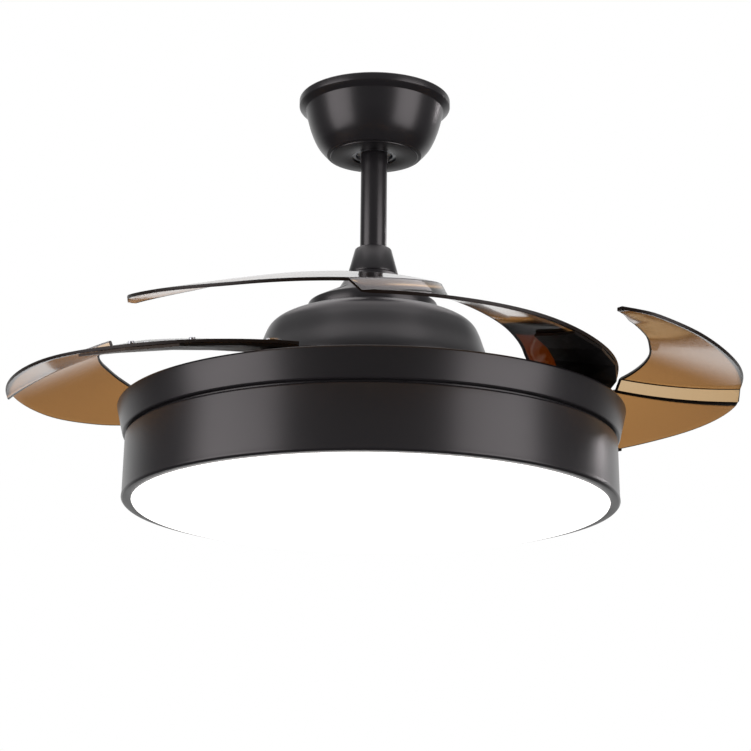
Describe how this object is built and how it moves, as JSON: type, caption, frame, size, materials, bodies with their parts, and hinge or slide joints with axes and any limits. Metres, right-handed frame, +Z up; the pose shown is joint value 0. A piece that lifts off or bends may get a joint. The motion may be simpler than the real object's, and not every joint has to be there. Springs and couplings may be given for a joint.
{
  "type": "ceiling fan with retractable blades and lamp",
  "caption": "Ceiling fan on a short rod with curved translucent blades that fold in above a round drum lamp, a domed motor cover, ball hanger and bowl canopy.",
  "frame": {"origin": "centre of the bracket's face that meets the ceiling", "axes": "+Z up to the ceiling along the fan's axis, -Y towards the viewer of the picture, +X to the viewer's right"},
  "size_m": [0.725, 0.725, 0.4274],
  "materials": {
    "charcoal_paint": "satin charcoal black paint",
    "zinc_steel": "zinc plated",
    "zinc_alloy": "die cast, bright",
    "bare_steel": "machined",
    "cast_aluminium": "dark coated",
    "laminations": "laminated steel with enamelled copper windings",
    "magnets": "matt ferrite",
    "black_plastic": "moulded",
    "gear_plastic": "acetal, natural",
    "sheet_aluminium": "pressed sheet, mill finish",
    "board": "white solder mask",
    "opal_acrylic": "opal, lit from behind",
    "amber_plastic": "clear amber brown, glossy"
  },
  "bodies": {
    "ceiling_hanger": {"ceiling_bracket": "zinc_steel", "canopy": "charcoal_paint"},
    "hanging_fan": {"hanger_ball": "zinc_alloy", "hanger_pin": "bare_steel", "downrod": "charcoal_paint", "coupling_cover": "charcoal_paint", "yoke_collar": "zinc_alloy", "yoke_pin": "bare_steel", "vent_cap": "charcoal_paint", "motor_dome": "charcoal_paint", "receiver_unit": "black_plastic", "motor_shaft": "bare_steel", "upper_bearing": "bare_steel", "lower_bearing": "bare_steel", "stator": "laminations", "lamp_chassis": "sheet_aluminium", "shaft_nut": "zinc_steel", "led_driver": "black_plastic", "led_board": "board", "lamp_band": "charcoal_paint", "lamp_drum": "charcoal_paint", "diffuser": "opal_acrylic"},
    "rotor": {"rotor_shell": "cast_aluminium", "magnet_ring": "magnets", "turntable": "cast_aluminium", "ring_cover": "black_plastic", "return_spring_1": "bare_steel", "return_spring_2": "bare_steel", "return_spring_3": "bare_steel", "return_spring_4": "bare_steel"},
    "sync_ring_body": {"sync_ring": "gear_plastic"},
    "blade_body_1": {"blade_1": "amber_plastic", "blade_arm_1": "zinc_steel", "pivot_pin_1": "zinc_steel"},
    "blade_body_2": {"blade_2": "amber_plastic", "blade_arm_2": "zinc_steel", "pivot_pin_2": "zinc_steel"},
    "blade_body_3": {"blade_3": "amber_plastic", "blade_arm_3": "zinc_steel", "pivot_pin_3": "zinc_steel"},
    "blade_body_4": {"blade_4": "amber_plastic", "blade_arm_4": "zinc_steel", "pivot_pin_4": "zinc_steel"}
  },
  "joints": [
    {"name": "hanger_tilt", "type": "hinge", "parent": "ceiling_hanger", "child": "hanging_fan", "pos_m": [0, 0, -0.041], "axis": [1, 0, 0], "range_deg": [-12, 12]},
    {"name": "rotor_spin", "type": "hinge", "parent": "hanging_fan", "child": "rotor", "pos_m": [0, 0, -0.3], "axis": [0, 0, 1], "continuous": true},
    {"name": "blade_1_fold", "type": "hinge", "parent": "rotor", "child": "blade_body_1", "pos_m": [0.08882, 0.20673, -0.32], "axis": [0, 0, 1], "range_deg": [-30, 60]},
    {"name": "blade_2_fold", "type": "hinge", "parent": "rotor", "child": "blade_body_2", "pos_m": [0.20673, -0.08882, -0.32], "axis": [0, 0, 1], "range_deg": [-30, 60]},
    {"name": "blade_3_fold", "type": "hinge", "parent": "rotor", "child": "blade_body_3", "pos_m": [-0.08882, -0.20673, -0.32], "axis": [0, 0, 1], "range_deg": [-30, 60]},
    {"name": "blade_4_fold", "type": "hinge", "parent": "rotor", "child": "blade_body_4", "pos_m": [-0.20673, 0.08882, -0.32], "axis": [0, 0, 1], "range_deg": [-30, 60]},
    {"name": "sync_ring_turn", "type": "hinge", "parent": "rotor", "child": "sync_ring_body", "pos_m": [0, 0, -0.325], "axis": [0, 0, 1], "range_deg": [-13, 7]}
  ],
  "couplings": [
    {"joint": "blade_2_fold", "follows": "blade_1_fold", "ratio": 1},
    {"joint": "blade_3_fold", "follows": "blade_1_fold", "ratio": 1},
    {"joint": "blade_4_fold", "follows": "blade_1_fold", "ratio": 1},
    {"joint": "sync_ring_turn", "follows": "blade_1_fold", "ratio": -0.20968}
  ]
}
